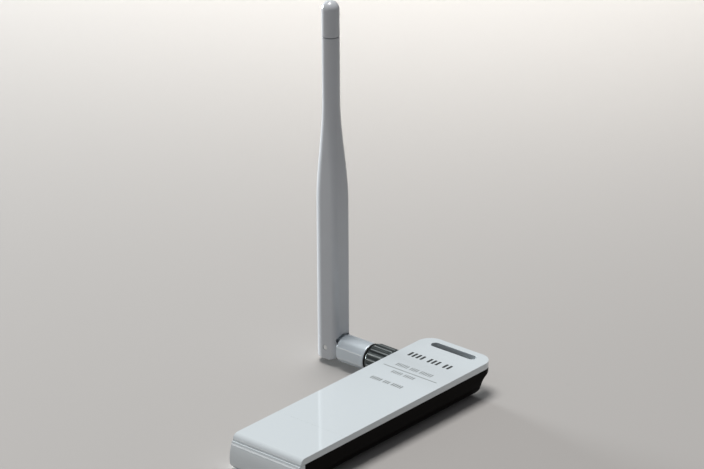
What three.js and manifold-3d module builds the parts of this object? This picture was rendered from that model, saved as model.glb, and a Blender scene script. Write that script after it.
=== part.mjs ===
// USB Wi-Fi adapter with a screw-on whip antenna that folds and swivels.
// Millimetres, +Z up. The origin is the middle of the flat underside: the capped USB plug points
// along -X, the lanyard slot is at the +X end, and the antenna leaves the +Y side.
import * as THREE from 'three';
import { mergeVertices } from 'three/addons/utils/BufferGeometryUtils.js';
import Module from 'manifold-3d';

// Case
const CASE_LENGTH = 92.7;
const CASE_WIDTH = 26.95;
const CASE_HEIGHT = 11;
const COVER_THICKNESS = 2.06;
const SEAM = 0.1; // gap between shells that meet face to face
const WALL = 1.45;
const HULL_CORNER = 5.5; // rounding of the long lower edges
const NOSE_CORNER = 2.6; // the same rounding where the hull meets the nose
const PARTING_X = -24.7; // the cap comes off here
const TAIL_CORNER = 5; // plan rounding at the lanyard end
const TAIL_WALL_X = 39.8; // the hull's end wall, which flares out above into a lip
const TAIL_LIP = 8; // height of the underside at the very end
const LANYARD_SLOT = { x: 42.4, width: 2.97, length: 17.5 };

// Cap
const NOSE_TOP_INSET = 1.6; // how far the nose leans back at the cover
const NOSE_LEDGE = 0.4; // the nose stands this far proud of the cover's roll
const NOSE_THICKNESS = 3.6;
const NOSE_ROLL = 2.05; // the cover rolls down over the nose with this radius
const CAP_CAVITY = { halfWidth: 11.6, bottom: 1.6 };
const NOSE_POCKET = { x: -43.9, halfWidth: 7, z0: 2.4, z1: 8 }; // for the plug's tip

// USB plug
const PLUG = { length: 26.5, width: 12, height: 4.5, wall: 0.35, exposed: 18.7, z: 5.5 };
const CONTACT_PITCHES = [-3.5, -1, 1, 3.5];

// Circuit board
const BOARD = { x0: -22.6, x1: 37.9, halfWidth: 9.8, bottom: 2.1, thickness: 1 };
const PART_GAP = 0.06; // solder gap under each component
const SHIELD = { x: 12, length: 20, width: 16, height: 2, wall: 0.3 };

// Antenna connector, on an axis parallel to Y
const JACK_X = 30.25;
const AXIS_Z = 6;
const THREAD_RADIUS = 3.1;
const JACK_TIP = 19.9;
const NUT = { start: 13.8, end: 22.6, radius: 5.15, bore: 3.4, ribs: 18, ribDepth: 0.3 };
const NECK_RADIUS = 2.3;
const WASHER = { start: 22.72, end: 23.22, radius: 4.65 };
const BARREL = { start: 23.35, end: 34.6, radius: 4.5, flat: 4.17, flatStart: 24.3 };
const NECK = { start: 21.5, end: 26.2, bore: 1.4, boreStart: 24 }; // ferrule, behind its flange
const RETAINER = { start: 25.5, end: 26.1, radius: 3.2 };
const BARREL_BORE = { end: 25.2, grooveEnd: 26.8, groove: 3.5, cable: 1.3 };
const FIT = 0.3; // running clearance in the moving joints

// Whip antenna, standing on the hinge pin
const WHIP_Y = 39.5;
const SLEEVE = { halfX: 3.85, front: 4.6, back: 5, tipRadius: 2.8 };
const SLEEVE_CORNER = { front: [2, 2], back: [3.2, 4] }; // half axes of its elliptical corners
const TAPER = { from: 49, to: 83 }; // heights above the pin
const TIP_SEAM = 103.6;
const TIP_TOP = 115.1;
const FOOT = { drop: 4.3, frontCorner: 3.8, backCorner: 1 }; // ears below the pin, in side view
const TONGUE = { halfWidth: 1.6, radius: 3.6 };
const FORK_SLOT = { halfWidth: 1.9, back: 3.95, top: 4.2 };
const BARREL_RECESS = { radius: 4.9, depth: 1.5, halfWidth: 3.2 }; // over the barrel's end
const PIN_RADIUS = 1.1;

const NOSE_X = -CASE_LENGTH / 2;
const TAIL_X = CASE_LENGTH / 2;
const HALF_WIDTH = CASE_WIDTH / 2;
const COVER_BOTTOM = CASE_HEIGHT - COVER_THICKNESS;
const PLUG_TIP = PARTING_X - PLUG.exposed;
const HULL_TOP = COVER_BOTTOM - SEAM;
const BOARD_TOP = BOARD.bottom + BOARD.thickness;
const CAP_FRONT = NOSE_X + NOSE_THICKNESS;

const wasm = await Module();
wasm.setup();

// ---- materials ----

const finish = (color, roughness, metalness) =>
  new THREE.MeshStandardMaterial({ color, roughness, metalness });
const MATERIALS = {
  whiteGloss: finish(0xd9e0e2, 0.12, 0),
  blackGloss: finish(0x0b0908, 0.15, 0),
  greyPlastic: finish(0x8f9399, 0.3, 0),
  satinNickel: finish(0xa9b2bb, 0.32, 0.6),
  darkChrome: finish(0x5c6462, 0.25, 1),
  steel: finish(0xc4c6c8, 0.28, 1),
  gold: finish(0xd8b25a, 0.3, 1),
  copper: finish(0xb87445, 0.35, 1),
  board: finish(0x1d5a36, 0.5, 0),
  chip: finish(0x1a1a1c, 0.55, 0),
  ceramic: finish(0xb59a78, 0.6, 0),
  ivory: finish(0xe9e4d8, 0.5, 0),
  rubber: finish(0x101010, 0.8, 0),
  lamp: finish(0x9fe0a8, 0.2, 0),
};

// ---- solids ----

// A closed three.js geometry as a solid: vertices merged, empty triangles dropped, faces out.
function solid(geometry) {
  const bare = geometry.clone();
  bare.deleteAttribute('normal');
  bare.deleteAttribute('uv');
  const merged = mergeVertices(bare, 1e-4);
  const points = merged.attributes.position.array;
  const corners = merged.index.array;
  const at = (i) => new THREE.Vector3().fromArray(points, 3 * i);
  const kept = [];
  let volume = 0;
  for (let i = 0; i < corners.length; i += 3) {
    const [a, b, c] = [corners[i], corners[i + 1], corners[i + 2]];
    if (a === b || b === c || c === a) continue;
    kept.push([a, b, c]);
    volume += at(a).dot(at(b).cross(at(c)));
  }
  const outward = volume > 0 ? kept : kept.map(([a, b, c]) => [a, c, b]);
  const mesh = new wasm.Mesh({
    numProp: 3,
    vertProperties: new Float32Array(points),
    triVerts: new Uint32Array(outward.flat()),
  });
  return new wasm.Manifold(mesh);
}

function geometryOf(manifold) {
  const mesh = manifold.getMesh();
  const geometry = new THREE.BufferGeometry();
  geometry.setAttribute('position', new THREE.BufferAttribute(mesh.vertProperties, 3));
  geometry.setIndex(new THREE.BufferAttribute(mesh.triVerts, 1));
  geometry.computeVertexNormals();
  return geometry;
}

const cutAll = (body, ...cutters) => cutters.reduce((rest, cutter) => rest.subtract(cutter), body);

function block(x0, x1, y0, y1, z0, z1) {
  const geometry = new THREE.BoxGeometry(x1 - x0, y1 - y0, z1 - z0);
  return solid(geometry.translate((x0 + x1) / 2, (y0 + y1) / 2, (z0 + z1) / 2));
}

// Round bar along Y between two stations, centred on (x, z).
function barY(radius, y0, y1, x = 0, z = 0, sides = 32) {
  const geometry = new THREE.CylinderGeometry(radius, radius, y1 - y0, sides);
  return solid(geometry.translate(x, (y0 + y1) / 2, z));
}

function barX(radius, x0, x1, y = 0, sides = 24) {
  const geometry = new THREE.CylinderGeometry(radius, radius, x1 - x0, sides);
  return solid(geometry.rotateZ(Math.PI / 2).translate((x0 + x1) / 2, y, 0));
}

function barZ(radius, z0, z1, sides = 20) {
  const geometry = new THREE.CylinderGeometry(radius, radius, z1 - z0, sides);
  return solid(geometry.rotateX(Math.PI / 2).translate(0, 0, (z0 + z1) / 2));
}

// Turned geometry on the Y axis; the profile is a closed loop of [radius, y] corners.
function lathed(profile, sides = 32) {
  const points = [...profile, profile[0]].map(([radius, y]) => new THREE.Vector2(radius, y));
  return new THREE.LatheGeometry(points, sides);
}

const turned = (profile, sides) => solid(lathed(profile, sides));

const ringY = (inner, outer, y0, y1, sides) =>
  turned([[inner, y0], [outer, y0], [outer, y1], [inner, y1]], sides);

// Skin over a row of matching convex rings, closed by a fan at each end.
function loft(rings) {
  const count = rings[0].length;
  const points = rings.flat();
  const corners = [];
  for (let r = 0; r + 1 < rings.length; r += 1) {
    for (let i = 0; i < count; i += 1) {
      const [a, b] = [r * count + i, r * count + ((i + 1) % count)];
      corners.push(a, b, b + count, a, b + count, a + count);
    }
  }
  const last = (rings.length - 1) * count;
  for (let i = 1; i + 1 < count; i += 1) {
    corners.push(0, i + 1, i, last, last + i, last + i + 1);
  }
  const geometry = new THREE.BufferGeometry().setFromPoints(points);
  return solid(geometry.setIndex(corners));
}

// Corner arc in a plane, from angle a0 to a1, as [u, v] pairs.
function arc(u, v, radius, a0, a1, steps) {
  return Array.from({ length: steps + 1 }, (_, i) => {
    const angle = a0 + ((a1 - a0) * i) / steps;
    return [u + radius * Math.cos(angle), v + radius * Math.sin(angle)];
  });
}

// ---- case shells ----

// Section of the hull at x: flat top, flat bottom, rounded lower edges.
function hullSection(x, halfWidth, bottom, top, corner) {
  const steps = 6;
  const radius = Math.min(corner, top - bottom - 0.3);
  const right = arc(halfWidth - radius, bottom + radius, radius, 0, -Math.PI / 2, steps);
  const left = arc(-halfWidth + radius, bottom + radius, radius, -Math.PI / 2, -Math.PI, steps);
  const outline = [[-halfWidth, top], [halfWidth, top], ...right, ...left];
  return outline.map(([y, z]) => new THREE.Vector3(x, y, z));
}

const smooth = (t) => t * t * (3 - 2 * t);

// Plan of the case from the parting to its two rounded far corners.
function casePlan(z0, z1) {
  const corner = TAIL_X - TAIL_CORNER;
  const shape = new THREE.Shape();
  shape.moveTo(PARTING_X, -HALF_WIDTH);
  shape.lineTo(corner, -HALF_WIDTH);
  shape.absarc(corner, -HALF_WIDTH + TAIL_CORNER, TAIL_CORNER, -Math.PI / 2, 0);
  shape.absarc(corner, HALF_WIDTH - TAIL_CORNER, TAIL_CORNER, 0, Math.PI / 2);
  shape.lineTo(PARTING_X, HALF_WIDTH);
  return solid(new THREE.ExtrudeGeometry(shape, {
    depth: z1 - z0, bevelEnabled: false, curveSegments: 10,
  }).translate(0, 0, z0));
}

// Side view of the case's hull: its end wall stands up from the underside and flares out to a lip.
function tailSide() {
  const flare = new THREE.CubicBezierCurve(
    new THREE.Vector2(TAIL_WALL_X, 2.6),
    new THREE.Vector2(TAIL_WALL_X - 0.9, 5.4),
    new THREE.Vector2(TAIL_WALL_X + 1.5, TAIL_LIP - 0.4),
    new THREE.Vector2(TAIL_X + 1, TAIL_LIP),
  ).getPoints(8).map(({ x, y }) => [x, y]);
  return [[PARTING_X, 0], ...arc(TAIL_WALL_X - 1, 1, 1, -Math.PI / 2, 0, 4), ...flare,
    [TAIL_X + 1, HULL_TOP], [PARTING_X, HULL_TOP]];
}

function lanyardHole(z0, z1) {
  const { x, width, length } = LANYARD_SLOT;
  const radius = width / 2;
  const reach = length / 2 - radius;
  const shape = new THREE.Shape();
  shape.absarc(0, reach, radius, 0, Math.PI);
  shape.absarc(0, -reach, radius, Math.PI, 2 * Math.PI);
  const geometry = new THREE.ExtrudeGeometry(shape, {
    depth: z1 - z0, bevelEnabled: false, curveSegments: 8,
  });
  return solid(geometry.translate(x, 0, z0));
}

const jackHole = () => barY(THREAD_RADIUS + 0.5, 8.3, HALF_WIDTH + 1, JACK_X, AXIS_Z);

function bottomShell() {
  const cavityEnd = 38.5;
  const cavityHalf = HALF_WIDTH - WALL;
  const cavity = loft([PARTING_X + WALL, cavityEnd].map((x) =>
    hullSection(x, cavityHalf, WALL, HULL_TOP + 1, HULL_CORNER - WALL)));
  const collar = loft([PARTING_X - 1.7, PARTING_X + 1].map((x) =>
    hullSection(x, CAP_CAVITY.halfWidth - FIT, CAP_CAVITY.bottom + FIT, HULL_TOP - FIT, 3.8)));
  const plugHole = block(PARTING_X - 3, PARTING_X + 3, -PLUG.width / 2 - FIT,
    PLUG.width / 2 + FIT, PLUG.z - PLUG.height / 2 - FIT, PLUG.z + PLUG.height / 2 + FIT);
  const bar = loft([PARTING_X, TAIL_X].map((x) =>
    hullSection(x, HALF_WIDTH, 0, HULL_TOP, HULL_CORNER)));
  let shell = bar.intersect(casePlan(-1, CASE_HEIGHT)).intersect(acrossWidth(tailSide())).add(collar);
  shell = cutAll(shell, cavity, plugHole, jackHole(), lanyardHole(-1, CASE_HEIGHT));
  for (const x of [-14, 30]) {
    for (const y of [-8.2, 8.2]) {
      shell = shell.add(block(x - 1, x + 1, y - 0.8, y + 0.8, WALL - 0.3, BOARD.bottom - 0.08));
    }
  }
  return shell;
}

// Plate with the two far corners rounded, the lanyard slot and a locating lip underneath.
function topCover() {
  const plate = casePlan(COVER_BOTTOM, CASE_HEIGHT);
  const lipBottom = COVER_BOTTOM - 1;
  const lipHalf = HALF_WIDTH - WALL - FIT;
  const lip = cutAll(
    block(PARTING_X + WALL + FIT, 38, -lipHalf, lipHalf, lipBottom, COVER_BOTTOM + 0.5),
    block(PARTING_X + WALL + 1.1, 37.2, 0.8 - lipHalf, lipHalf - 0.8, lipBottom - 1, COVER_BOTTOM),
  );
  return cutAll(plate.add(lip), lanyardHole(0, CASE_HEIGHT + 1), jackHole());
}

// ---- cap ----

// Extrudes a side view of [x, z] corners across the whole width of the case.
function acrossWidth(outline) {
  const shape = new THREE.Shape(outline.map(([x, z]) => new THREE.Vector2(x, z)));
  const geometry = new THREE.ExtrudeGeometry(shape, { depth: CASE_WIDTH, bevelEnabled: false });
  return solid(geometry.rotateX(Math.PI / 2).translate(0, HALF_WIDTH, 0));
}

// Cover plate of the cap, rolled down over the nose.
function capCover() {
  const front = NOSE_X + NOSE_TOP_INSET;
  const roll = arc(front + NOSE_ROLL, CASE_HEIGHT - NOSE_ROLL, NOSE_ROLL, Math.PI, Math.PI / 2, 6);
  const back = PARTING_X - SEAM;
  return acrossWidth([...roll, [back, CASE_HEIGHT], [back, COVER_BOTTOM], [front, COVER_BOTTOM]]);
}

// White end piece: a bulging face, a rounded lower edge and a pocket for the plug's tip.
function capNose() {
  const face = new THREE.QuadraticBezierCurve(
    new THREE.Vector2(NOSE_X + NOSE_TOP_INSET - NOSE_LEDGE, HULL_TOP),
    new THREE.Vector2(NOSE_X, 6.3),
    new THREE.Vector2(NOSE_X, NOSE_CORNER - 0.4),
  ).getPoints(6).map(({ x, y }) => [x, y]);
  const edge = arc(NOSE_X + 2.2, 2.2, 2.2, Math.PI, 1.5 * Math.PI, 5).slice(1);
  const outline = [...face, ...edge, [CAP_FRONT, 0], [CAP_FRONT, HULL_TOP]];
  const section = loft([NOSE_X - 1, CAP_FRONT + 1].map((x) =>
    hullSection(x, HALF_WIDTH, 0, HULL_TOP, NOSE_CORNER)));
  const { x, halfWidth, z0, z1 } = NOSE_POCKET;
  const pocket = block(x, CAP_FRONT + 1, -halfWidth, halfWidth, z0, z1);
  return acrossWidth(outline).intersect(section).subtract(pocket);
}

// Black channel of the cap, open above to the cover and behind to the plug.
function capShell() {
  const [front, back] = [CAP_FRONT + SEAM, PARTING_X - SEAM];
  const steps = 4;
  const rings = Array.from({ length: steps + 1 }, (_, i) => {
    const corner = NOSE_CORNER + (HULL_CORNER - NOSE_CORNER) * smooth(i / steps);
    return hullSection(front + ((back - front) * i) / steps, HALF_WIDTH, 0, HULL_TOP, corner);
  });
  const cavity = loft([front - 1, back + 1].map((x) =>
    hullSection(x, CAP_CAVITY.halfWidth, CAP_CAVITY.bottom, HULL_TOP + 1, 3.9)));
  return loft(rings).subtract(cavity);
}

// ---- USB plug and board ----

function plugShell() {
  const { width, height, wall, length, z } = PLUG;
  const tail = PLUG_TIP + length;
  const tube = (inset, x0, x1) => block(x0, x1, -width / 2 + inset, width / 2 - inset,
    z - height / 2 + inset, z + height / 2 - inset);
  let shell = tube(0, PLUG_TIP, tail).subtract(tube(wall, PLUG_TIP - 1, tail + 1));
  for (const y of [-3, 3]) {
    shell = shell.subtract(block(PLUG_TIP + 5, PLUG_TIP + 7.2, y - 1.2, y + 1.2, 0, CASE_HEIGHT));
  }
  return shell;
}

const plugTongue = () => block(PLUG_TIP + 0.4, PLUG_TIP + PLUG.length - 0.4,
  -PLUG.width / 2 + 0.55, PLUG.width / 2 - 0.55, PLUG.z - PLUG.height / 2 + 0.45, PLUG.z);

const plugContact = (y) => block(PLUG_TIP + 1.4, PLUG_TIP + PLUG.length - 0.6,
  y - 0.5, y + 0.5, PLUG.z + 0.05, PLUG.z + 0.25);

// Component of a given size standing on the board, centred on (x, y).
const onBoard = (x, y, length, width, height) => block(x - length / 2, x + length / 2,
  y - width / 2, y + width / 2, BOARD_TOP + PART_GAP, BOARD_TOP + PART_GAP + height);

// Folded lid over the radio chips, open towards the board.
function shieldCan() {
  const { x, length, width, height, wall } = SHIELD;
  const inside = block(x - length / 2 + wall, x + length / 2 - wall, -width / 2 + wall,
    width / 2 - wall, BOARD_TOP - 1, BOARD_TOP + PART_GAP + height - wall);
  return onBoard(x, 0, length, width, height).subtract(inside);
}

// ---- antenna connector, in a frame on the jack's axis ----

function jackBody() {
  const base = block(-3, 3, 8.3, 11.1, BOARD_TOP + PART_GAP - AXIS_Z, 1.9);
  const barrel = barY(THREAD_RADIUS, 10.8, JACK_TIP);
  const bore = barY(2.2, 13, JACK_TIP + 1).add(barY(0.8, 8, 14, 0, 0, 16));
  return base.add(barrel).subtract(bore);
}

// Hollow nut with round-bottomed flutes along it and a chamfer at the antenna end.
function couplingNut() {
  const { start, end, radius, bore, ribs, ribDepth } = NUT;
  const perRib = 4;
  const outline = Array.from({ length: ribs * perRib }, (_, i) => {
    const angle = (2 * Math.PI * i) / (ribs * perRib);
    const depth = i % perRib < 2 ? 0 : ribDepth;
    return new THREE.Vector2(Math.cos(angle), Math.sin(angle)).multiplyScalar(radius - depth);
  });
  const depth = end - start;
  const fluted = solid(new THREE.ExtrudeGeometry(new THREE.Shape(outline), {
    depth, bevelEnabled: false,
  }).rotateX(-Math.PI / 2).translate(0, start, 0));
  const envelope = turned([[0, start], [radius - 0.4, start], [radius + 0.1, start + 0.5],
    [radius + 0.1, end - 1.1], [radius - 0.7, end], [0, end]]);
  const hollow = barY(bore, start - 1, end - 0.8).add(barY(NECK_RADIUS + FIT, start, end + 1));
  return fluted.intersect(envelope).subtract(hollow);
}

const ferrule = () => turned([[2.1, JACK_TIP + 0.2], [3.05, JACK_TIP + 0.2], [3.05, NECK.start],
  [NECK_RADIUS, NECK.start], [NECK_RADIUS, NECK.end], [NECK.bore, NECK.end],
  [NECK.bore, NECK.boreStart], [2.1, NECK.boreStart]]);

const plugSocket = () => turned([[0, 17.8], [0.6, 17.8], [0.6, 15.6], [0.85, 15.6], [0.85, 23.2],
  [0, 23.2]], 16);

// Swivel barrel: round body with two flats, a tongue for the hinge, and the cable's way through.
function swivelBarrel() {
  const { start, end, radius, flat, flatStart } = BARREL;
  const body = turned([[0, start], [radius - 0.25, start], [radius, start + 0.25],
    [radius, end - 0.3], [radius - 0.3, end], [0, end]], 40);
  const flats = [block(flat, radius + 1, flatStart, end + 1, -radius, radius),
    block(-radius - 1, -flat, flatStart, end + 1, -radius, radius)];
  const { halfWidth, radius: tip } = TONGUE;
  const tongue = block(-halfWidth, halfWidth, end - 0.5, WHIP_Y, 0.1 - tip, tip - 0.1)
    .add(barX(tip, -halfWidth, halfWidth, WHIP_Y));
  const { end: boreEnd, grooveEnd, groove, cable } = BARREL_BORE;
  const bore = barY(NECK_RADIUS + FIT, start - 1, boreEnd).add(barY(groove, boreEnd - 0.1, grooveEnd));
  const cableWay = barY(cable, grooveEnd - 0.2, end + 1.2, 0, 0, 16);
  const pinHole = barX(PIN_RADIUS + FIT, -4, 4, WHIP_Y);
  return cutAll(body.add(tongue), ...flats, bore, cableWay, pinHole);
}

// ---- whip, in a frame on the hinge pin ----

// Ring of the sleeve at a height: a rounded rectangle low down that turns into a circle.
function sleeveRing(z) {
  const t = 1 - smooth(THREE.MathUtils.clamp((z - TAPER.from) / (TAPER.to - TAPER.from), 0, 1));
  const blend = (low) => SLEEVE.tipRadius + (low - SLEEVE.tipRadius) * t;
  const [half, front, back] = [SLEEVE.halfX, SLEEVE.front, SLEEVE.back].map(blend);
  const [frontCorner, backCorner] = [SLEEVE_CORNER.front, SLEEVE_CORNER.back].map((c) => c.map(blend));
  const steps = 5;
  const quarter = Math.PI / 2;
  const corner = (sideX, sideY, depth, [rx, ry], turn) => arc(0, 0, 1, turn * quarter,
    (turn + 1) * quarter, steps).map(([x, y]) =>
    new THREE.Vector3(sideX * (half - rx) + x * rx, sideY * (depth - ry) + y * ry, z));
  return [...corner(1, 1, back, backCorner, 0), ...corner(-1, 1, back, backCorner, 1),
    ...corner(-1, -1, front, frontCorner, 2), ...corner(1, -1, front, frontCorner, 3)];
}

// Side view of the sleeve: a square lower back corner, and a rounded front one that clears the barrel.
function sleeveSide() {
  const { drop, frontCorner, backCorner } = FOOT;
  const { front, back } = SLEEVE;
  const top = TIP_SEAM + 1;
  return [[-front - 1, top], [-front - 1, frontCorner - drop],
    ...arc(frontCorner - front, frontCorner - drop, frontCorner, Math.PI, 1.5 * Math.PI, 12),
    ...arc(back - backCorner, backCorner - drop, backCorner, 1.5 * Math.PI, 2 * Math.PI, 4),
    [back + 1, backCorner - drop], [back + 1, top]];
}

function whipSleeve() {
  const taperSteps = 10;
  const heights = Array.from({ length: taperSteps + 1 },
    (_, i) => TAPER.from + ((TAPER.to - TAPER.from) * i) / taperSteps);
  const skin = loft([-FOOT.drop - 1, ...heights, TIP_SEAM].map(sleeveRing));
  const side = new THREE.Shape(sleeveSide().map(([y, z]) => new THREE.Vector2(y, z)));
  const keep = solid(new THREE.ExtrudeGeometry(side, { depth: 12, bevelEnabled: false })
    .rotateX(Math.PI / 2).rotateZ(Math.PI / 2).translate(-6, 0, 0));
  const { halfWidth, back, top } = FORK_SLOT;
  const slot = block(-halfWidth, halfWidth, -8, back, -FOOT.drop - 2, top);
  const { radius, depth, halfWidth: reach } = BARREL_RECESS;
  const recess = barY(radius, -8, depth - SLEEVE.front).intersect(block(-reach, reach, -9, 0, 2.4, 6));
  const pinHole = barX(PIN_RADIUS + FIT, -6, 6);
  const bore = barZ(1.3, top - 1, 9, 16).add(barZ(2.9, 8, 58)).add(barZ(1.9, 57, TIP_SEAM + 1));
  return cutAll(skin.intersect(keep), slot, recess, pinHole, bore);
}

// Rounded tip with a peg that plugs into the sleeve.
function tipCap() {
  const radius = SLEEVE.tipRadius;
  const base = TIP_SEAM + 0.25;
  const dome = arc(0, TIP_TOP - radius, radius, 0, Math.PI / 2, 6);
  const peg = 1.6;
  const profile = [[0, base - 4], [peg, base - 4], [peg, base], [radius, base],
    ...dome.slice(0, -1), [0, TIP_TOP]];
  return solid(lathed(profile, 24).rotateX(Math.PI / 2));
}

// Round tube bent along a path, as a wire.
function wire(path, radius, steps) {
  const section = new THREE.Shape();
  section.absarc(0, 0, radius, 0, 2 * Math.PI);
  return solid(new THREE.ExtrudeGeometry(section, {
    steps, bevelEnabled: false, extrudePath: path, curveSegments: 4,
  }));
}

class Helix extends THREE.Curve {
  constructor(radius, turns, z0, z1) {
    super();
    Object.assign(this, { radius, turns, z0, z1 });
  }

  getPoint(t, target = new THREE.Vector3()) {
    const angle = 2 * Math.PI * this.turns * t;
    const height = this.z0 + (this.z1 - this.z0) * t;
    return target.set(this.radius * Math.cos(angle), this.radius * Math.sin(angle), height);
  }
}

// ---- assembly ----

const adapter = new THREE.Group();
const connector = new THREE.Group();
connector.position.set(JACK_X, 0, AXIS_Z);
const whip = new THREE.Group();
whip.position.set(0, WHIP_Y, 0);
adapter.add(connector);
connector.add(whip);

function add(group, name, body, material) {
  const mesh = new THREE.Mesh(geometryOf(body), MATERIALS[material]);
  mesh.name = name;
  group.add(mesh);
}

add(adapter, 'top_cover', topCover(), 'whiteGloss');
add(adapter, 'bottom_shell', bottomShell(), 'blackGloss');
add(adapter, 'cap_cover', capCover(), 'whiteGloss');
add(adapter, 'cap_nose', capNose(), 'whiteGloss');
add(adapter, 'cap_shell', capShell(), 'blackGloss');

add(adapter, 'usb_plug_shell', plugShell(), 'steel');
add(adapter, 'usb_plug_tongue', plugTongue(), 'ivory');
CONTACT_PITCHES.forEach((y, i) => add(adapter, `usb_contact_${i + 1}`, plugContact(y), 'gold'));

add(adapter, 'main_board', block(BOARD.x0, BOARD.x1, -BOARD.halfWidth, BOARD.halfWidth,
  BOARD.bottom, BOARD_TOP), 'board');
add(adapter, 'rf_shield_can', shieldCan(), 'steel');
add(adapter, 'wifi_chip', onBoard(9, 0, 8, 8, 0.9), 'chip');
add(adapter, 'power_amplifier', onBoard(18, -3.5, 3, 3, 0.75), 'chip');
add(adapter, 'crystal', onBoard(18, 4, 3.2, 2.5, 0.8), 'steel');
add(adapter, 'eeprom', onBoard(-8, 4.5, 5, 4, 1.5), 'chip');
add(adapter, 'voltage_regulator', onBoard(-8, -4.5, 6.5, 3.5, 1.6), 'chip');
add(adapter, 'rf_filter', onBoard(JACK_X, 5.5, 1.6, 3.2, 0.9), 'ceramic');
add(adapter, 'status_led', onBoard(35.5, 0, 1.6, 1, 0.7), 'lamp');
[-5, 5].forEach((y, i) => add(adapter, `inductor_${i + 1}`, onBoard(-1.8, y, 3, 3, 1.6), 'chip'));
for (let i = 0; i < 6; i += 1) {
  add(adapter, `capacitor_${i + 1}`, onBoard(25 + (i % 2) * 2.4, -7 + 2.4 * Math.floor(i / 2),
    1.1, 1.9, 0.9), 'ceramic');
}

add(connector, 'jack_body', jackBody(), 'gold');
add(connector, 'jack_insulator', ringY(0.75, 1.95, 13.3, 15.2, 24), 'ivory');
add(connector, 'jack_pin', barY(0.4, 8.9, 17.4, 0, 0, 12), 'gold');
add(connector, 'coupling_nut', couplingNut(), 'darkChrome');
add(connector, 'plug_ferrule', ferrule(), 'satinNickel');
add(connector, 'plug_insulator', ringY(1.1, 1.85, JACK_TIP + 0.4, 23.7, 24), 'ivory');
add(connector, 'plug_socket', plugSocket(), 'gold');
add(connector, 'gap_washer', ringY(NECK_RADIUS + FIT, WASHER.radius, WASHER.start, WASHER.end, 40),
  'rubber');
add(connector, 'retaining_ring', ringY(NECK_RADIUS + 0.15, RETAINER.radius,
  RETAINER.start, RETAINER.end, 24), 'steel');
add(connector, 'swivel_barrel', swivelBarrel(), 'satinNickel');
add(connector, 'barrel_coax', barY(0.9, BARREL_BORE.grooveEnd + 0.1, BARREL.end + 1, 0, 0, 12),
  'ivory');

add(whip, 'whip_sleeve', whipSleeve(), 'greyPlastic');
add(whip, 'whip_tip', tipCap(), 'greyPlastic');
add(whip, 'hinge_pin', barX(PIN_RADIUS, -SLEEVE.halfX, SLEEVE.halfX), 'steel');
add(whip, 'whip_coax', barZ(0.9, FORK_SLOT.top + 0.4, 40, 12), 'ivory');
add(whip, 'choke_tube', barZ(2.3, 22, 48).subtract(barZ(1.3, 21, 49)), 'copper');
add(whip, 'lower_radiator', barZ(0.4, 40.3, 62, 10), 'copper');
add(whip, 'phasing_coil', wire(new Helix(1.2, 6, 62.8, 74), 0.3, 72), 'copper');
add(whip, 'upper_radiator', barZ(0.4, 75, TIP_SEAM - 5, 10), 'copper');

export default adapter;
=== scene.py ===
"""Looks of a USB Wi-Fi adapter with a folding whip antenna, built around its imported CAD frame.

The case, cap, plug, antenna joint and whip get fine meshes that stand for the faceted CAD solids.
The parts inside them keep their CAD solids and get their own materials.
"""

import math

import bmesh
import bpy
from mathutils import Matrix, Vector


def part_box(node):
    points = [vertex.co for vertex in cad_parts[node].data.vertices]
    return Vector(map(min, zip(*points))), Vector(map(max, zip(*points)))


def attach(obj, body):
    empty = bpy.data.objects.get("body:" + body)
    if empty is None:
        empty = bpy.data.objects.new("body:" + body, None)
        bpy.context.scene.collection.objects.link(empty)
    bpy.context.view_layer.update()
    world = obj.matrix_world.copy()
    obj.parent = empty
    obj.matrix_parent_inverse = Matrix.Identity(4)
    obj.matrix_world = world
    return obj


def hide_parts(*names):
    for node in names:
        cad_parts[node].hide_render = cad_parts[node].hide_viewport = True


MM = 0.001
WELD = 1e-7  # metres: vertices closer than this are one

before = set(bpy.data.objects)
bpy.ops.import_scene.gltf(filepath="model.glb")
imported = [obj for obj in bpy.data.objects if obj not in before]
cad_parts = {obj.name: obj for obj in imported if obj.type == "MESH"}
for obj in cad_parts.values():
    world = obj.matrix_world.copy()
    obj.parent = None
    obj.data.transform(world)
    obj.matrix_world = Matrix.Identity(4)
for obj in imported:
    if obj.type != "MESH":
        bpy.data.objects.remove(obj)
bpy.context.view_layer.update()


# ---- places taken from the frame, in millimetres ----

def mm_box(node):
    """Lowest and highest corners of a CAD node."""
    low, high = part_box(node)
    return Vector(low) / MM, Vector(high) / MM


COVER_LOW, COVER_HIGH = mm_box("top_cover")
HULL_LOW, HULL_HIGH = mm_box("bottom_shell")
CAP_LOW = mm_box("cap_cover")[0]
NOSE_LOW, NOSE_HIGH = mm_box("cap_nose")
CAP_HULL_LOW = mm_box("cap_shell")[0]
PLUG_LOW, PLUG_HIGH = mm_box("usb_plug_shell")
JACK_LOW, JACK_HIGH = mm_box("jack_body")
NUT_LOW, NUT_HIGH = mm_box("coupling_nut")
WASHER_LOW, WASHER_HIGH = mm_box("gap_washer")
BARREL_LOW, BARREL_HIGH = mm_box("swivel_barrel")
FERRULE_LOW, FERRULE_HIGH = mm_box("plug_ferrule")
SLEEVE_LOW, SLEEVE_HIGH = mm_box("whip_sleeve")
TIP_LOW, TIP_HIGH = mm_box("whip_tip")
PIN_LOW, PIN_HIGH = mm_box("hinge_pin")

HALF_WIDTH = COVER_HIGH.y
TOP = COVER_HIGH.z
TAIL_X = COVER_HIGH.x
COVER_BOTTOM = CAP_LOW.z
HULL_TOP = HULL_HIGH.z
PARTING_X = COVER_LOW.x
PIN = (PIN_LOW + PIN_HIGH) / 2
AXIS_X, AXIS_Z = PIN.x, PIN.z
JACK_AXIS = (AXIS_X, 0, AXIS_Z)  # a point on the axis, which is parallel to Y


# ---- driving dimensions, in millimetres ----

OVER = 1  # how far a cutter stands past what it cuts
CLEAR = 3  # the same, where a bevelled end is cut away too
FAR = 20  # beyond the whole case

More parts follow.
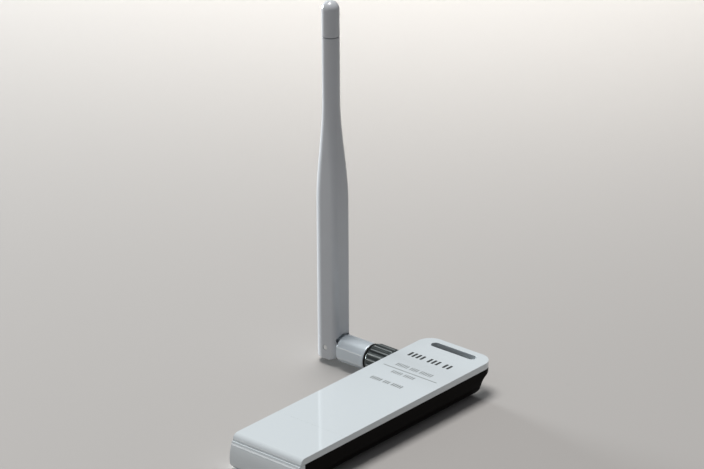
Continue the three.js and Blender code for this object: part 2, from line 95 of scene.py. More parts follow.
# Case and cap
HULL_CORNER = 5.5
NOSE_CORNER = 2.6
TAIL_CORNER = 5.0
TAIL_WALL_X = 39.8
TAIL_LIP = 8.0
HULL_INSET = 0.08  # of the black hull, behind the white cover's side
WALL = 1.45
CAVITY_END = 38.5
PARTING_GAP = 0.02
EDGE = 0.28  # rounding of the white cover
SLOT_X = 42.4
SLOT_HALF = (1.485, 8.75)
JACK_HOLE = {"radius": 3.6, "start": 8.3}
PLUG_GAP = {"hull": 0.3, "collar": 0.25}
COLLAR = {"half": 11.3, "bottom": 1.9, "corner": 3.8, "drop": 0.3, "reach": 0.3}
COLLAR_END = ((0.35, 0.0, 3.5), (0.1, 0.1, 3.7))  # inset, setback and corner of its soft end
NOSE_ROLL = 2.05
NOSE_LEDGE = 0.4
NOSE_FOOT = 2.2
NOSE_POCKET = {"start": -43.9, "half": 7, "z": (2.4, 8)}
CAP_CAVITY = {"half": 11.6, "floor": 1.6, "corner": 3.9}

# USB plug
SHELL_WALL = 0.35
SHELL_CORNER = 0.6
SHELL_MOUTH = {"inset": 0.12, "corner": 0.5, "depth": 0.15}
SHELL_INNER_CORNER = 0.3
WINDOW = {"x": 6.1, "y": 3, "half": (1.1, 1.2)}
SEAM_HALF = 0.06

# Jack, nut, plug and barrel
THREAD = {"pitch": 0.7056, "depth": 0.28, "root": 11.0, "lead_in": 0.8, "taper": 0.25}
JACK_BASE = {"half": 3, "step": 0.25, "end": 11.1, "rise": 1.9}
JACK_BORE = {"radius": 2.2, "start": 13}
JACK_PIN_HOLE = {"radius": 0.8, "start": 8, "end": 14}
NUT = {"ribs": 18, "flute": 0.32, "flute_limit": -0.25, "bore": 3.4, "wall": 0.8, "crest": 0.06}
NUT_START = ((0, -0.45), (0.18, -0.2), (0.45, 0))  # distance from that end, change of radius
NUT_END = ((1.15, 0), (0.9, -0.06), (0.5, -0.3), (0.12, -0.62), (0, -0.75))
NECK_BORE = 2.6
WASHER_EDGE = 0.15
FERRULE = {"bore": 2.1, "flange": 3.05, "flange_end": 21.5, "neck": 2.3, "cable": 1.4,
           "cable_start": 24, "edge": 0.1}
BARREL = {"end": 34.6, "flat": 4.17, "flat_start": 24.3, "groove": (25.1, 26.8),
          "groove_radius": 3.5, "cable": 1.3, "cable_reach": 1.2, "edge": 0.2}
BARREL_START = ((0.35, 0), (0.1, 0.1), (0, 0.35))  # inset, and distance from that end
BARREL_END = ((0, 0.4), (0.12, 0.12), (0.4, 0))
TONGUE = {"half": 1.6, "radius": 3.6, "flank": 0.1, "overlap": 0.5}
BARREL_PIN_HOLE = {"radius": 1.4, "reach": 4}

# Whip
TAPER = (49.0, 83.0)
SLEEVE_CORNERS = {"front": (2.0, 2.0), "back": (3.2, 4.0)}
FOOT_CORNERS = {"front": 3.8, "back": 1.0}
FOOT_EDGE = 0.8
BELOW_TAPER, ABOVE_TAPER = (4, 12, 25, 38), 92  # heights of the plain rings above the pin
TIP_JOINT = {"lip": 0.2, "inset": 0.12, "gap": 0.22, "spigot": 1.6, "edge": 0.1, "shoulder": 0.15}
FORK = {"half": 1.9, "back": 3.95, "top": 4.2}
RECESS = {"radius": 4.9, "depth": 1.5, "half": 3.2, "z": (2.4, 6)}
SLEEVE_PIN_HOLE = {"radius": 0.93, "reach": 6}
SLEEVE_BORE = {"cable": 1.3, "start": 8, "wide": 2.9, "wide_end": 58, "narrow": 1.9}
HINGE_PIN = {"radius": 0.85, "head": 0.9}

# Print
INK = {"sunk": 0.03, "height": 0.012, "corner": 0.4}
GROUP_GAP = 0.8  # extra gap between groups of strokes, in pitches


# ---- mesh tools ----

def mesh_piece(name, points, faces):
    """A mesh object from points in millimetres, with its faces turned outwards."""
    mesh = bpy.data.meshes.new(name)
    mesh.from_pydata([Vector(p) * MM for p in points], [], faces)
    work = bmesh.new()
    work.from_mesh(mesh)
    bmesh.ops.remove_doubles(work, verts=work.verts, dist=WELD)
    bmesh.ops.recalc_face_normals(work, faces=work.faces)
    work.to_mesh(mesh)
    work.free()
    piece = bpy.data.objects.new(name, mesh)
    bpy.context.scene.collection.objects.link(piece)
    return piece


def loft(name, rings):
    """Skin over matching rings of points, closed at both ends."""
    count = len(rings[0])
    points = [p for ring in rings for p in ring]
    faces = []
    for r in range(len(rings) - 1):
        for i in range(count):
            a, b = r * count + i, r * count + (i + 1) % count
            faces.append((a, b, b + count, a + count))
    faces.append(tuple(range(count)))
    last = (len(rings) - 1) * count
    faces.append(tuple(range(last, last + count)))
    return mesh_piece(name, points, faces)


def lathe(name, profile, place, axis, steps=96, closed=False):
    """Turns (radius, along) points about an axis through place. A radius of 0 closes an end."""
    turns = {"X": lambda a, r, s: (s, r * math.cos(a), r * math.sin(a)),
             "Y": lambda a, r, s: (r * math.cos(a), s, r * math.sin(a)),
             "Z": lambda a, r, s: (r * math.cos(a), r * math.sin(a), s)}[axis]
    points = []
    for radius, along in profile:
        for i in range(steps):
            spot = turns(2 * math.pi * i / steps, radius, along)
            points.append(Vector(spot) + Vector(place))
    rows = len(profile)
    faces = []
    for r in range(rows if closed else rows - 1):
        for i in range(steps):
            a, b = r * steps + i, r * steps + (i + 1) % steps
            c, d = (b + steps) % (rows * steps), (a + steps) % (rows * steps)
            faces.append((a, b, c, d))
    piece = mesh_piece(name, points, faces)
    work = bmesh.new()
    work.from_mesh(piece.data)
    bmesh.ops.dissolve_degenerate(work, edges=work.edges, dist=WELD)
    work.to_mesh(piece.data)
    work.free()
    return piece


def arc(u, v, radius, start, end, steps):
    """Points of an arc in a plane, in degrees."""
    angles = [math.radians(start + (end - start) * i / steps) for i in range(steps + 1)]
    return [(u + radius * math.cos(a), v + radius * math.sin(a)) for a in angles]


def extruded(name, outline, axis, low, high):
    """Extrudes an outline along an axis. The outline's two numbers are the other axes in order."""
    put = {"X": lambda s, u, v: (s, u, v), "Y": lambda s, u, v: (u, s, v),
           "Z": lambda s, u, v: (u, v, s)}[axis]
    return loft(name, [[put(s, u, v) for u, v in outline] for s in (low, high)])


def block(name, low, high):
    """Box between two corners."""
    outline = [(low[1], low[2]), (high[1], low[2]), (high[1], high[2]), (low[1], high[2])]
    return extruded(name, outline, "X", low[0], high[0])


def rounded_rectangle(half_u, half_v, radius, steps):
    """Outline about the origin, with an arc in each corner."""
    corners = ((1, 1, 0), (-1, 1, 90), (-1, -1, 180), (1, -1, 270))
    points = []
    for su, sv, start in corners:
        points += arc(su * (half_u - radius), sv * (half_v - radius), radius, start, start + 90,
                      steps)
    return points


def apply_modifiers(piece):
    """Puts the result of a piece's modifiers in place of its mesh."""
    bpy.context.view_layer.update()
    graph = bpy.context.evaluated_depsgraph_get()
    mesh = bpy.data.meshes.new_from_object(piece.evaluated_get(graph))
    piece.modifiers.clear()
    old = piece.data
    piece.data = mesh
    bpy.data.meshes.remove(old)


def boolean(piece, cutter, operation):
    """Combines a piece with another one, which is used up."""
    modifier = piece.modifiers.new("boolean", "BOOLEAN")
    modifier.solver = "EXACT"
    modifier.operation = operation
    modifier.object = cutter
    apply_modifiers(piece)
    bpy.data.objects.remove(cutter)


def cut(piece, *cutters):
    """Takes each cutter out of a piece."""
    for cutter in cutters:
        boolean(piece, cutter, "DIFFERENCE")


def bevel(piece, width, angle, segments):
    """Rounds the edges sharper than an angle."""
    modifier = piece.modifiers.new("bevel", "BEVEL")
    modifier.width = width * MM
    modifier.segments = segments
    modifier.limit_method = "ANGLE"
    modifier.angle_limit = math.radians(angle)
    apply_modifiers(piece)


def soften(piece, sharp=35):
    """Shades a piece smoothly, apart from the edges sharper than an angle."""
    piece.data.shade_smooth()
    piece.data.set_sharp_from_angle(angle=math.radians(sharp))
    weighted = piece.modifiers.new("normals", "WEIGHTED_NORMAL")
    weighted.keep_sharp = True
    return piece


# ---- materials ----

class Shader:
    """A small helper around one node material, in the frame's metres."""

    def __init__(self, name, color, roughness, metallic=0.0, **sockets):
        self.material = bpy.data.materials.new(name)
        self.material.use_nodes = True
        self.tree = self.material.node_tree
        self.base = self.tree.nodes["Principled BSDF"]
        self.base.inputs["Base Color"].default_value = (*color, 1)
        self.base.inputs["Roughness"].default_value = roughness
        self.base.inputs["Metallic"].default_value = metallic
        for label, value in sockets.items():
            self.base.inputs[label.replace("_", " ")].default_value = value
        self.coordinates = self.node("ShaderNodeTexCoord").outputs["Object"]

    def node(self, kind, **settings):
        made = self.tree.nodes.new(kind)
        for key, value in settings.items():
            setattr(made, key, value)
        return made

    def link(self, a, b):
        self.tree.links.new(a, b)

    def noise(self, scale, detail, stretch):
        mapping = self.node("ShaderNodeMapping")
        mapping.inputs["Scale"].default_value = stretch
        self.link(self.coordinates, mapping.inputs["Vector"])
        texture = self.node("ShaderNodeTexNoise")
        texture.inputs["Scale"].default_value = scale
        texture.inputs["Detail"].default_value = detail
        self.link(mapping.outputs["Vector"], texture.inputs["Vector"])
        return texture.outputs["Fac"]

    def ranged(self, value, low, high):
        scale = self.node("ShaderNodeMapRange")
        scale.inputs["To Min"].default_value = low
        scale.inputs["To Max"].default_value = high
        self.link(value, scale.inputs["Value"])
        return scale.outputs["Result"]

    def vary_roughness(self, scale, low, high, stretch=(1, 1, 1)):
        self.link(self.ranged(self.noise(scale, 4.0, stretch), low, high),
                  self.base.inputs["Roughness"])
        return self

    def vary_color(self, scale, first, second, stretch=(1, 1, 1)):
        mix = self.node("ShaderNodeMix", data_type="RGBA")
        mix.inputs["A"].default_value = (*first, 1)
        mix.inputs["B"].default_value = (*second, 1)
        self.link(self.noise(scale, 4.0, stretch), mix.inputs["Factor"])
        self.link(mix.outputs["Result"], self.base.inputs["Base Color"])
        return self

    def bump(self, scale, distance, stretch=(1, 1, 1)):
        bump = self.node("ShaderNodeBump")
        bump.inputs["Strength"].default_value = 1.0
        bump.inputs["Distance"].default_value = distance
        self.link(self.noise(scale, 3.0, stretch), bump.inputs["Height"])
        self.link(bump.outputs["Normal"], self.base.inputs["Normal"])
        return self


def make_materials():
    """Every material, by its short name."""
    made = {
        "white": Shader("white_gloss", (0.70, 0.76, 0.79), 0.05, IOR=1.6, Specular_IOR_Level=0.8,
                        Coat_Weight=1.0, Coat_Roughness=0.03)
        .vary_color(60, (0.695, 0.755, 0.785), (0.715, 0.77, 0.80))
        .vary_roughness(220, 0.03, 0.06).bump(90, 1e-6),
        "black": Shader("black_gloss", (0.004, 0.003, 0.0025), 0.3, Specular_IOR_Level=0.03)
        .vary_color(300, (0.003, 0.0024, 0.002), (0.005, 0.004, 0.0035))
        .vary_roughness(400, 0.25, 0.36).bump(1500, 3e-6),
        "grey": Shader("grey_plastic", (0.57, 0.59, 0.62), 0.2, IOR=1.6)
        .vary_color(150, (0.56, 0.58, 0.61), (0.58, 0.60, 0.63))
        .vary_roughness(500, 0.1, 0.16).bump(800, 1e-6),
        "nickel": Shader("satin_nickel", (0.68, 0.75, 0.80), 0.35, 0.3)
        .vary_color(200, (0.66, 0.73, 0.78), (0.70, 0.765, 0.815))
        .vary_roughness(900, 0.3, 0.4, (1, 14, 1)).bump(1400, 2e-6, (1, 10, 1)),
        "dark_chrome": Shader("dark_chrome", (0.08, 0.092, 0.092), 0.3, 0.9)
        .vary_color(400, (0.07, 0.082, 0.082), (0.10, 0.113, 0.112))
        .vary_roughness(900, 0.24, 0.4),
        # The chamfer beside the barrel's flats: a smoother finish, and a much lighter colour that
        # is a painted highlight along the edge.
        "glossy_painted_highlight": Shader("glossy_edge_painted_highlight", (0.93, 0.96, 1.0), 0.15, 0.15)
        .vary_color(300, (0.91, 0.95, 0.98), (0.94, 0.97, 1.0)).vary_roughness(900, 0.12, 0.2),
        # The nut's ridge crests: a lighter chrome, which is a painted highlight along each crest.
        "ridge_chrome_painted_highlight": Shader("ridge_painted_highlight", (0.5, 0.54, 0.54), 0.2, 0.7)
        .vary_color(300, (0.46, 0.50, 0.50), (0.54, 0.58, 0.58)).vary_roughness(900, 0.16, 0.26),
        "steel": Shader("plug_steel", (0.66, 0.67, 0.68), 0.3, 1.0)
        .vary_color(250, (0.62, 0.63, 0.64), (0.70, 0.71, 0.72))
        .vary_roughness(700, 0.22, 0.38, (8, 1, 1)).bump(1500, 2e-6, (8, 1, 1)),
        "gold": Shader("gold_plate", (0.78, 0.58, 0.25), 0.3, 1.0)
        .vary_color(500, (0.74, 0.54, 0.22), (0.82, 0.62, 0.28))
        .vary_roughness(900, 0.22, 0.36),
        "copper": Shader("copper", (0.65, 0.34, 0.2), 0.35, 1.0)
        .vary_color(500, (0.58, 0.29, 0.17), (0.70, 0.38, 0.23))
        .vary_roughness(900, 0.3, 0.45),
        "board": Shader("circuit_board", (0.03, 0.16, 0.07), 0.4)
        .vary_color(900, (0.02, 0.13, 0.05), (0.05, 0.22, 0.10), (1, 6, 1))
        .vary_roughness(600, 0.3, 0.45),
        "chip": Shader("chip_black", (0.02, 0.02, 0.022), 0.55)
        .vary_color(1500, (0.018, 0.018, 0.02), (0.03, 0.03, 0.032))
        .vary_roughness(900, 0.5, 0.65),
        "ceramic": Shader("ceramic", (0.45, 0.33, 0.2), 0.6)
        .vary_color(1500, (0.42, 0.30, 0.18), (0.5, 0.37, 0.23)).vary_roughness(800, 0.5, 0.7),
        "ivory": Shader("ivory_plastic", (0.78, 0.75, 0.68), 0.45)
        .vary_color(600, (0.76, 0.73, 0.66), (0.81, 0.78, 0.71)).vary_roughness(600, 0.4, 0.5),
        "rubber": Shader("black_rubber", (0.012, 0.012, 0.012), 0.7)
        .vary_color(900, (0.01, 0.01, 0.01), (0.018, 0.018, 0.018)).vary_roughness(700, 0.6, 0.8),
        "lens": Shader("led_lens", (0.35, 0.75, 0.42), 0.15)
        .vary_color(900, (0.33, 0.72, 0.40), (0.38, 0.8, 0.45)).vary_roughness(900, 0.1, 0.2),
        "ink": Shader("print_ink", (0.03, 0.035, 0.035), 0.4)
        .vary_color(2500, (0.025, 0.03, 0.03), (0.045, 0.05, 0.05)).vary_roughness(900, 0.35, 0.5),
        "pale_ink": Shader("pale_print_ink", (0.2, 0.225, 0.225), 0.4)
        .vary_color(2500, (0.18, 0.2, 0.2), (0.24, 0.26, 0.26)).vary_roughness(900, 0.35, 0.5),
    }
    return {key: shader.material for key, shader in made.items()}


MATERIALS = make_materials()


def finish(piece, material, body, *nodes):
    """Gives a finished piece its material and its body, and the CAD nodes that it stands for."""
    piece.data.materials.clear()
    piece.data.materials.append(MATERIALS[material])
    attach(piece, body)
    if nodes:
        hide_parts(*nodes)


def polish(piece, material, chosen):
    """Gives the chosen faces of a finished piece a second material."""
    piece.data.materials.append(MATERIALS[material])
    for face in piece.data.polygons:
        if chosen(face):
            face.material_index = 1


# ---- case ----

def hull_section(x, half_width, bottom, top, corner):
    """Section of the hull at x: flat top and bottom, rounded lower edges."""
    steps, least_side = 12, 0.3
    radius = min(corner, top - bottom - least_side)
    right = arc(half_width - radius, bottom + radius, radius, 0, -90, steps)
    left = arc(-half_width + radius, bottom + radius, radius, -90, -180, steps)
    outline = [(-half_width, top), (half_width, top), *right, *left]
    return [(x, y, z) for y, z in outline]


def case_plan():
    """Plan of the case from the parting to its rounded far corners, as (x, y) points."""
    corner, edge = TAIL_X - TAIL_CORNER, HALF_WIDTH - TAIL_CORNER
    return [(PARTING_X, -HALF_WIDTH), *arc(corner, -edge, TAIL_CORNER, -90, 0, 24),
            *arc(corner, edge, TAIL_CORNER, 0, 90, 24), (PARTING_X, HALF_WIDTH)]


def bezier(points, t):
    """Point of a cubic curve."""
    a, b, c, d = (Vector(p) for p in points)
    s = 1 - t
    return a * s ** 3 + b * 3 * s * s * t + c * 3 * s * t * t + d * t ** 3


def tail_side():
    """Side view of the hull: its end wall stands up and flares out to a lip, as (x, z) points."""
    flare = [(TAIL_WALL_X, 2.6), (TAIL_WALL_X - 0.9, 5.4), (TAIL_WALL_X + 1.5, TAIL_LIP - 0.4),
             (TAIL_X + 1, TAIL_LIP)]
    steps, foot_radius = 24, 1
    curve = [tuple(bezier(flare, i / steps)) for i in range(steps + 1)]
    foot = arc(TAIL_WALL_X - foot_radius, foot_radius, foot_radius, -90, 0, 8)
    start, end = PARTING_X - CLEAR, TAIL_X + 2
    return [(start, 0), *foot, *curve, (end, HULL_TOP + OVER), (end, FAR), (start, FAR)]


def lanyard_cutter(low, high):
    """Cutter for the round-ended slot, a micrometre short of a full half circle at each end."""
    outline = rounded_rectangle(*SLOT_HALF, SLOT_HALF[0] - 0.001, 12)
    return extruded("cutter", [(SLOT_X + x, y) for x, y in outline], "Z", low, high)


def round_cutter(radius, low, high, steps=64):
    """Cutter along Y on the jack's axis."""
    return lathe("cutter", [(0, low), (radius, low), (radius, high), (0, high)], JACK_AXIS, "Y",
                 steps)


def pin_cutter(radius, reach):
    """Cutter along the hinge pin."""
    return lathe("cutter", [(0, -reach), (radius, -reach), (radius, reach), (0, reach)], PIN, "X",
                 32)


def jack_cutter():
    """Cutter for the hole in the case's side that the jack comes out of."""
    return round_cutter(JACK_HOLE["radius"], JACK_HOLE["start"], HALF_WIDTH + OVER)


def plug_cutter(gap):
    """Cutter for the way of the USB plug, with a gap round it."""
    return block("cutter", (PARTING_X - CLEAR, PLUG_LOW.y - gap, PLUG_LOW.z - gap),
                 (PARTING_X + CLEAR, PLUG_HIGH.y + gap, PLUG_HIGH.z + gap))


def case_hull():
    """Black lower hull of the case, hollow and open above."""
    hull = loft("case_hull", [hull_section(x, HALF_WIDTH - HULL_INSET, 0, HULL_TOP, HULL_CORNER)
                              for x in (PARTING_X - OVER, TAIL_X - HULL_INSET)])
    plan = [(x - HULL_INSET if x > 0 else x - CLEAR, y) for x, y in case_plan()]
    boolean(hull, extruded("plan", plan, "Z", -OVER, TOP), "INTERSECT")
    boolean(hull, extruded("side", tail_side(), "Y", -HALF_WIDTH - OVER, HALF_WIDTH + OVER),
            "INTERSECT")
    bevel(hull, 0.15, angle=35, segments=3)
    before = block("cutter", (PARTING_X - CLEAR, -FAR, -OVER), (PARTING_X, FAR, FAR))
    cavity = loft("cutter", [
        hull_section(x, HALF_WIDTH - WALL, WALL, HULL_TOP + OVER, HULL_CORNER - WALL)
        for x in (PARTING_X + WALL, CAVITY_END)])
    cut(hull, before, cavity, plug_cutter(PLUG_GAP["hull"]), jack_cutter(),
        lanyard_cutter(-OVER, TOP))
    finish(soften(hull), "black", "root", "bottom_shell")


def plug_collar():
    """Raised collar round the plug that the cap pushes over."""
    half, bottom, top = COLLAR["half"], COLLAR["bottom"], HULL_TOP - COLLAR["drop"]
    rings = [hull_section(HULL_LOW.x + setback, half - inset, bottom + inset, top - inset, corner)
             for inset, setback, corner in COLLAR_END]
    rings.append(hull_section(PARTING_X + COLLAR["reach"], half, bottom, top, COLLAR["corner"]))
    collar = loft("plug_collar", rings)
    cut(collar, plug_cutter(PLUG_GAP["collar"]))
    finish(soften(collar), "black", "root")


def case_cover():
    """White plate with rounded far corners, soft edges and the lanyard slot."""
    longer = [(x - 2 if x < 0 else x, y) for x, y in case_plan()]
    cover = extruded("case_cover", longer, "Z", COVER_BOTTOM, TOP)
    cut(cover, lanyard_cutter(0, TOP + OVER))
    bevel(cover, EDGE, angle=50, segments=4)
    cut(cover, block("cutter", (PARTING_X - 5, -FAR, 0), (PARTING_X, FAR, FAR)), jack_cutter())
    finish(soften(cover), "white", "root", "top_cover")


# ---- cap ----

def cap_cover():
    """Cap's white plate, rolled down over the nose."""
    front, back = CAP_LOW.x, PARTING_X + 2
    roll = arc(front + NOSE_ROLL, TOP - NOSE_ROLL, NOSE_ROLL, 180, 90, 16)
    outline = [*roll, (back, TOP), (back, COVER_BOTTOM), (front, COVER_BOTTOM)]
    cover = extruded("cap_cover_plate", outline, "Y", -HALF_WIDTH, HALF_WIDTH)
    bevel(cover, EDGE, angle=50, segments=4)
    cut(cover, block("cutter", (PARTING_X - PARTING_GAP, -FAR, 0), (PARTING_X + 5, FAR, FAR)))
    finish(soften(cover), "white", "cap", "cap_cover")


def cap_nose():
    """White end piece with a bulging face, rounded lower edges and a pocket for the plug."""
    low, high = NOSE_LOW, NOSE_HIGH
    top_x = CAP_LOW.x - NOSE_LEDGE
    bulge = [(top_x, high.z), (top_x - 0.8, 7.1), (low.x, 4.9), (low.x, NOSE_FOOT)]
    steps = 16
    face = [tuple(bezier(bulge, i / steps)) for i in range(steps + 1)]
    foot = arc(low.x + NOSE_FOOT, NOSE_FOOT, NOSE_FOOT, 180, 270, 12)
    outline = [*face, *foot[1:], (high.x, 0), (high.x, high.z)]
    nose = extruded("cap_nose_piece", outline, "Y", -HALF_WIDTH, HALF_WIDTH)
    section = loft("cutter", [hull_section(x, HALF_WIDTH - 0.02, 0, high.z, NOSE_CORNER)
                              for x in (low.x - OVER, high.x + OVER)])
    boolean(nose, section, "INTERSECT")
    half, (bottom, top) = NOSE_POCKET["half"], NOSE_POCKET["z"]
    cut(nose, block("cutter", (NOSE_POCKET["start"], -half, bottom), (high.x + OVER, half, top)))
    bevel(nose, 0.3, angle=35, segments=4)
    finish(soften(nose), "white", "cap", "cap_nose")


def cap_hull():
    """Black channel of the cap, open above and behind."""
    front, back = CAP_HULL_LOW.x, PARTING_X + 2
    steps = 12
    rings = []
    for i in range(steps + 1):
        t = i / steps
        growth = t * t * (3.3 - 2.2 * t)  # slow at first, and full a little before the parting
        corner = min(NOSE_CORNER + (HULL_CORNER - NOSE_CORNER) * growth, HULL_CORNER)
        x = front + (back - front) * t
        rings.append(hull_section(x, HALF_WIDTH - HULL_INSET, 0, HULL_TOP, corner))
    hull = loft("cap_hull", rings)
    cavity = loft("cutter", [hull_section(x, CAP_CAVITY["half"], CAP_CAVITY["floor"],
                                          HULL_TOP + OVER, CAP_CAVITY["corner"])
                             for x in (front - OVER, back + OVER)])
    bevel(hull, 0.12, angle=50, segments=2)
    after = block("cutter", (PARTING_X - PARTING_GAP, -FAR, -OVER), (PARTING_X + 5, FAR, FAR))
    cut(hull, cavity, after)
    finish(soften(hull), "black", "cap", "cap_shell")


# ---- USB plug ----

def usb_plug():
    """Formed steel shell with rounded corners, two windows above and below, and a rear seam."""
    half_y, half_z = PLUG_HIGH.y, (PLUG_HIGH.z - PLUG_LOW.z) / 2
    centre = (PLUG_HIGH.z + PLUG_LOW.z) / 2

    def ring(x, inset, radius):
        outline = rounded_rectangle(half_y - inset, half_z - inset, radius, 6)
        return [(x, y, centre + z) for y, z in outline]

    mouth = SHELL_MOUTH
    shell = loft("usb_plug_casing", [ring(PLUG_LOW.x, mouth["inset"], mouth["corner"]),
                                     ring(PLUG_LOW.x + mouth["depth"], 0, SHELL_CORNER),
                                     ring(PLUG_HIGH.x, 0, SHELL_CORNER)])
    cut(shell, loft("cutter", [ring(x, SHELL_WALL, SHELL_INNER_CORNER)
                               for x in (PLUG_LOW.x - OVER, PLUG_HIGH.x + OVER)]))
    x, (half_x, half_window) = PLUG_LOW.x + WINDOW["x"], WINDOW["half"]
    for y in (-WINDOW["y"], WINDOW["y"]):
        cut(shell, block("cutter", (x - half_x, y - half_window, 0),
                         (x + half_x, y + half_window, TOP)))
    cut(shell, block("cutter", (PLUG_LOW.x - OVER, -SEAM_HALF, PLUG_LOW.z - OVER),
                     (PARTING_X + OVER, SEAM_HALF, centre)))
    bevel(shell, 0.05, angle=50, segments=2)
    finish(soften(shell), "steel", "root", "usb_plug_shell")


# ---- antenna joint ----

def threaded_jack():
    """Jack with a real helical thread round its barrel, standing on a square base."""
    radius = JACK_HIGH.x - AXIS_X
    around, along = 60, 90
    root, tip = THREAD["root"], JACK_HIGH.y
    points, faces = [], []
    for j in range(along + 1):
        y = root + (tip - root) * j / along
        lead_in = min(1.0, (tip - y) / THREAD["lead_in"])
        for i in range(around):
            angle = 2 * math.pi * i / around
            phase = (y / THREAD["pitch"] - i / around) % 1.0
            height = radius - THREAD["depth"] * abs(2 * phase - 1) - THREAD["taper"] * (1 - lead_in)
            points.append((AXIS_X + height * math.cos(angle), y, AXIS_Z + height * math.sin(angle)))
    for j in range(along):
        for i in range(around):
            a, b = j * around + i, j * around + (i + 1) % around
            faces.append((a, b, b + around, a + around))
    faces.append(tuple(range(around)))
    faces.append(tuple(range(along * around, (along + 1) * around)))
    jack = mesh_piece("threaded_jack", points, faces)
    half = JACK_BASE["half"]
    base = block("base", (AXIS_X - half, JACK_LOW.y, JACK_LOW.z + JACK_BASE["step"]),
                 (AXIS_X + half, JACK_BASE["end"], AXIS_Z + JACK_BASE["rise"]))
    boolean(jack, base, "UNION")
    hole = JACK_PIN_HOLE
    cut(jack, round_cutter(JACK_BORE["radius"], JACK_BORE["start"], tip + OVER),
        round_cutter(hole["radius"], hole["start"], hole["end"], 32))
    finish(soften(jack), "gold", "root", "jack_body")


def nut_piece():
    """Fluted nut with a chamfer at each end and an open bore."""
    per_rib = 8
    count = NUT["ribs"] * per_rib
    radius = (NUT_HIGH.x - NUT_LOW.x) / 2
    start, end = NUT_LOW.y, NUT_HIGH.y
    stations = [(start + y, shrink) for y, shrink in NUT_START]
    stations += [(end - y, shrink) for y, shrink in NUT_END]
    rings = []
    for y, shrink in stations:
        depth = NUT["flute"] if shrink > NUT["flute_limit"] else 0.0
        ring = []
        for i in range(count):
            angle = 2 * math.pi * i / count
            wave = 0.5 - 0.5 * math.cos(2 * math.pi * i / per_rib)
            reach = min(radius - depth * wave ** 0.6, radius + shrink)
            ring.append((AXIS_X + reach * math.cos(angle), y, AXIS_Z + reach * math.sin(angle)))
        rings.append(ring)
    nut = loft("coupling_nut_ring", rings)
    cut(nut, round_cutter(NUT["bore"], start - OVER, end - NUT["wall"]),
        round_cutter(NECK_BORE, start, end + OVER))
    finish(soften(nut), "dark_chrome", "nut", "coupling_nut")
    # The ridge crests get the lighter chrome: a painted highlight.
    polish(nut, "ridge_chrome_painted_highlight", lambda face: on_ridge(face, radius))


def on_ridge(face, radius):
    """Whether a face is on the crest of one of the nut's ridges, where a highlight is painted."""
    across = math.hypot(face.center.x / MM - AXIS_X, face.center.z / MM - AXIS_Z)
    return across > radius - NUT["crest"] and abs(face.normal.y) < 0.3


def washer_piece():
    """Thin black ring in the gap between the nut and the barrel."""
    outer, edge = (WASHER_HIGH.x - WASHER_LOW.x) / 2, WASHER_EDGE
    start, end = WASHER_LOW.y, WASHER_HIGH.y
    profile = [(NECK_BORE, start), (outer - edge, start), (outer, start + edge),
               (outer, end - edge), (outer - edge, end), (NECK_BORE, end)]
    washer = lathe("gap_ring", profile, JACK_AXIS, "Y", closed=True)
    finish(soften(washer), "rubber", "barrel", "gap_washer")


def ferrule_piece():
    """Antenna plug's ferrule: a flange that the nut pulls on, and a hollow neck."""
    tip, end = FERRULE_LOW.y, FERRULE_HIGH.y
    bore, neck, cable = FERRULE["bore"], FERRULE["neck"], FERRULE["cable"]
    flange, flange_end, edge = FERRULE["flange"], FERRULE["flange_end"], FERRULE["edge"]
    step = FERRULE["cable_start"]
    profile = [(bore, tip), (flange - edge, tip), (flange, tip + edge),
               (flange, flange_end - edge), (flange - edge, flange_end), (neck, flange_end),
               (neck, end), (cable, end), (cable, step), (bore, step)]
    ferrule = lathe("plug_collet", profile, JACK_AXIS, "Y", closed=True)
    finish(soften(ferrule), "nickel", "antenna_plug", "plug_ferrule")


def barrel_piece():
    """Swivel barrel: round body, a flat on each side, tongue and bores."""
    radius = (BARREL_HIGH.x - BARREL_LOW.x) / 2
    start, end = BARREL_LOW.y, BARREL["end"]
    profile = [(0, start), *((radius - inset, start + y) for inset, y in BARREL_START),
               *((radius - inset, end - y) for inset, y in BARREL_END), (0, end)]
    barrel = lathe("swivel_barrel_body", profile, JACK_AXIS, "Y", 128)
    for side in (-1, 1):
        near, far = sorted((AXIS_X + side * BARREL["flat"], AXIS_X + side * (radius + OVER)))
        cut(barrel, block("cutter", (near, BARREL["flat_start"], 0), (far, end + OVER, 2 * AXIS_Z)))
    half, reach = TONGUE["half"], TONGUE["radius"]
    eye = arc(PIN.y, AXIS_Z, reach, 90, -90, 24)
    root, flank = end - TONGUE["overlap"], reach - TONGUE["flank"]
    outline = [(root, AXIS_Z + flank), *eye, (root, AXIS_Z - flank)]
    boolean(barrel, extruded("tongue", outline, "X", AXIS_X - half, AXIS_X + half), "UNION")
    pin_hole = pin_cutter(BARREL_PIN_HOLE["radius"], BARREL_PIN_HOLE["reach"])
    groove, wide, cable = BARREL["groove"], BARREL["groove_radius"], BARREL["cable"]
    far_end = end + BARREL["cable_reach"]
    bore = lathe("cutter", [(0, start - OVER), (NECK_BORE, start - OVER), (NECK_BORE, groove[0]),
                            (wide, groove[0]), (wide, groove[1]), (cable, groove[1]),
                            (cable, far_end), (0, far_end)], JACK_AXIS, "Y", 60)
    cut(barrel, pin_hole, bore)
    bevel(barrel, BARREL["edge"], angle=15, segments=2)
    finish(soften(barrel, sharp=8), "nickel", "barrel", "swivel_barrel")
    # The chamfers beside the flats get a smoother finish and a lighter colour, which is a painted
    # highlight.
    polish(barrel, "glossy_painted_highlight", on_flat_edge)


def on_flat_edge(face):
    """Whether a face belongs to the narrow chamfer beside one of the barrel's flats, where a
    highlight is painted.
    """
    across = abs(face.center.x / MM - AXIS_X)
    tilt = abs(face.normal.x)
    return (across < BARREL["flat"] - 0.001 and 0.9 < tilt < 0.9995 and abs(face.normal.y) < 0.05
            and face.center.y / MM > BARREL["flat_start"])


# ---- whip ----

